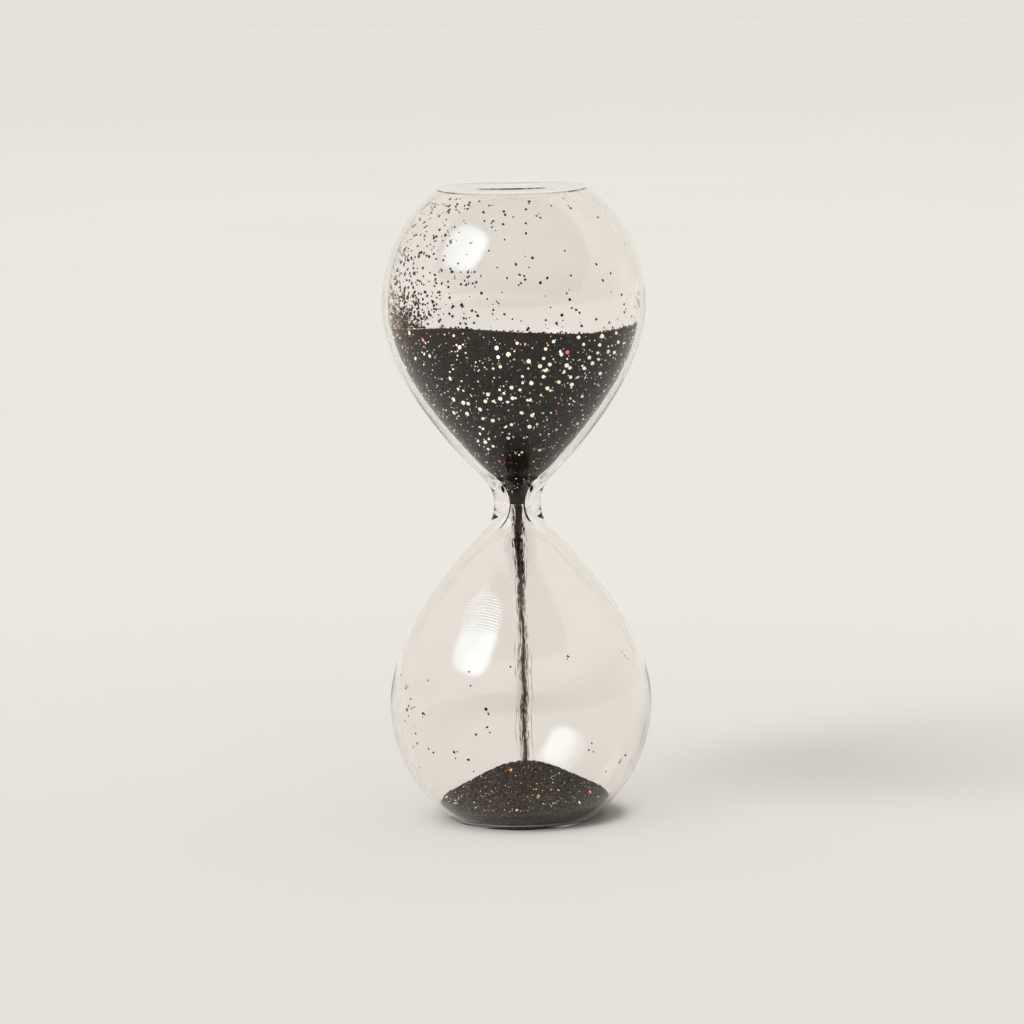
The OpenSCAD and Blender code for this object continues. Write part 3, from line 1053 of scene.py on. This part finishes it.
def floor():
    """Pale paper, with painted shade that makes it a little darker close to the camera and far away."""
    nodes = Nodes("studio_floor")
    body = nodes.add("BsdfPrincipled")
    set_inputs(body, {"Roughness": 0.95, "Specular IOR Level": 0.1})
    where = object_coordinates(nodes)
    blotch = nodes.add("TexNoise")
    set_inputs(blotch, {"Scale": 2.0, "Detail": 2.0})
    nodes.link(where, blotch.inputs["Vector"])
    deep = tuple(c * 0.985 for c in FLOOR_COLOUR)
    paper = ramp(nodes, blotch.outputs["Fac"], [(0.3, deep), (0.7, FLOOR_COLOUR)])
    parts = nodes.add("SeparateXYZ")
    nodes.link(where, parts.inputs["Vector"])
    # painted shade: the paper's colour is scaled darker near the camera and far away
    tone = nodes.add("Math", operation="MULTIPLY")
    for place, (start, end, start_shade, end_shade) in enumerate(FLOOR_PAINTED_SHADE):
        fade = nodes.add("MapRange", interpolation_type="SMOOTHSTEP")
        set_inputs(fade, {"From Min": start * MM, "From Max": end * MM,
                          "To Min": start_shade, "To Max": end_shade})
        nodes.link(parts.outputs["Y"], fade.inputs["Value"])
        nodes.link(fade.outputs["Result"], tone.inputs[place])
    shaded_paper = nodes.add("VectorMath", operation="SCALE")
    nodes.link(paper, shaded_paper.inputs[0])
    nodes.link(tone.outputs["Value"], shaded_paper.inputs["Scale"])
    nodes.link(shaded_paper.outputs["Vector"], body.inputs["Base Color"])
    material = nodes.output(body.outputs["BSDF"])
    points = ring_points(np.array([[reach, 0.0] for reach in FLOOR_RINGS]), FLOOR_SIDES)
    centre = len(points)
    points = np.vstack([points, [[0, 0, 0]]])
    faces = [face[::-1] for face in grid_faces(len(FLOOR_RINGS), FLOOR_SIDES)]
    faces += [[centre, side, (side + 1) % FLOOR_SIDES] for side in range(FLOOR_SIDES)]
    mesh_object("studio_floor", points, faces, [material])


class WorldNodes:
    """The studio as seen from the object: a pale room with one large soft box."""

    def __init__(self):
        self.world = bpy.data.worlds.new("studio")
        self.world.use_nodes = True
        self.tree = self.world.node_tree
        self.tree.nodes.clear()
        self.way = self.tree.nodes.new("ShaderNodeTexCoord").outputs["Generated"]

    def math(self, operation, a, b=None):
        node = self.tree.nodes.new("ShaderNodeMath")
        node.operation = operation
        for place, value in enumerate((a, b)):
            if isinstance(value, (int, float)):
                node.inputs[place].default_value = value
            elif value is not None:
                self.tree.links.new(value, node.inputs[place])
        return node.outputs["Value"]

    def along(self, axis):
        node = self.tree.nodes.new("ShaderNodeVectorMath")
        node.operation = "DOT_PRODUCT"
        self.tree.links.new(self.way, node.inputs[0])
        node.inputs[1].default_value = axis
        return node.outputs["Value"]

    def fade(self, source, low, high, low_value, high_value):
        node = self.tree.nodes.new("ShaderNodeMapRange")
        node.interpolation_type = "SMOOTHSTEP"
        set_inputs(node, {"From Min": low, "From Max": high, "To Min": low_value, "To Max": high_value})
        self.tree.links.new(source, node.inputs["Value"])
        return node.outputs["Result"]

    def scaled(self, colour, strength):
        node = self.tree.nodes.new("ShaderNodeVectorMath")
        node.operation = "SCALE"
        node.inputs[0].default_value = colour
        self.tree.links.new(strength, node.inputs["Scale"])
        return node.outputs["Vector"]

    def added(self, a, b):
        node = self.tree.nodes.new("ShaderNodeVectorMath")
        node.operation = "ADD"
        self.tree.links.new(a, node.inputs[0])
        self.tree.links.new(b, node.inputs[1])
        return node.outputs["Vector"]


def softbox_mask(nodes):
    """1 on the soft box's bright side, falling to 0 over its diffused edge; its corners are round."""
    across = Vector((0, 0, 1)).cross(SOFTBOX_WAY).normalized()
    upward = SOFTBOX_WAY.cross(across)
    ahead = nodes.math("MAXIMUM", nodes.along(SOFTBOX_WAY), 0.05)
    sideways = nodes.math("DIVIDE", nodes.along(across), ahead)
    rise = nodes.math("DIVIDE", nodes.along(upward), ahead)
    shares = []
    for offset, angle in ((sideways, SOFTBOX_WIDTH), (rise, SOFTBOX_HEIGHT)):
        reach = nodes.math("DIVIDE", nodes.math("ABSOLUTE", offset), math.tan(angle / 2))
        shares.append(nodes.math("POWER", reach, 3.0))
    inside = nodes.fade(nodes.math("ADD", shares[0], shares[1]), 0.45, 2.3, 1.0, 0.0)
    half_width = math.tan(SOFTBOX_WIDTH / 2)
    tone = nodes.fade(sideways, -half_width, half_width, SOFTBOX_DIM_SIDE, 1.0)
    return nodes.math("MULTIPLY", inside, tone)


def studio_world():
    """The room meets the floor unseen; in the glass it is dim towards the camera and its right."""
    nodes = WorldNodes()
    mirrored = nodes.tree.nodes.new("ShaderNodeLightPath").outputs["Is Singular Ray"]
    rise = nodes.along((0, 0, 1))
    dim_side = nodes.math("MULTIPLY", nodes.fade(nodes.along(DIM_WAY), -0.2, 1.0, 0.0, 0.7), mirrored)
    dimming = nodes.math("MULTIPLY", dim_side, nodes.fade(rise, 0.15, 0.5, 1.0, 0.0))
    fill = nodes.math("MULTIPLY", nodes.fade(nodes.along(FILL_WAY), 0.7, 0.95, 0.0, FILL_LIGHT),
                      nodes.math("SUBTRACT", 1.0, mirrored))
    ceiling = nodes.fade(rise, 0.3, 0.8, 1.0, 1.12)
    room = nodes.math("MULTIPLY", nodes.math("SUBTRACT", 1.0, dimming), ceiling)
    room = nodes.math("ADD", room, fill)
    mask = softbox_mask(nodes)
    sheen = nodes.math("MULTIPLY", mask, mirrored)
    light = nodes.math("SUBTRACT", mask, sheen)
    softbox = nodes.added(nodes.scaled(SOFTBOX_LIGHT, light), nodes.scaled(SOFTBOX_SHEEN, sheen))
    colour = nodes.added(nodes.scaled(ROOM_COLOUR, room), softbox)
    background = nodes.tree.nodes.new("ShaderNodeBackground")
    nodes.tree.links.new(colour, background.inputs["Color"])
    output = nodes.tree.nodes.new("ShaderNodeOutputWorld")
    nodes.tree.links.new(background.outputs["Background"], output.inputs["Surface"])
    bpy.context.scene.world = nodes.world


def camera():
    """A long lens, slightly above the timer and looking a little down, with the slightest roll."""
    data = bpy.data.cameras.new("camera")
    data.sensor_width = 36.0
    data.lens = LENS
    data.clip_start = 0.05
    data.clip_end = 1000.0
    turn = Euler((math.pi / 2 - CAMERA_PITCH, 0, 0)).to_matrix()
    turn = turn @ Matrix.Rotation(CAMERA_ROLL, 3, "Z")
    eye = bpy.data.objects.new("camera", data)
    eye.matrix_world = Matrix.Translation(Vector(CAMERA_PLACE) * MM) @ turn.to_4x4()
    bpy.context.scene.collection.objects.link(eye)
    bpy.context.scene.camera = eye


floor()
studio_world()
camera()

scene = bpy.context.scene
scene.view_settings.view_transform = "Standard"
scene.view_settings.gamma = VIEW_GAMMA
scene.cycles.max_bounces = MOST_BOUNCES
scene.cycles.transmission_bounces = MOST_BOUNCES
scene.cycles.transparent_max_bounces = MOST_BOUNCES
scene.cycles.caustics_refractive = False
scene.cycles.caustics_reflective = False
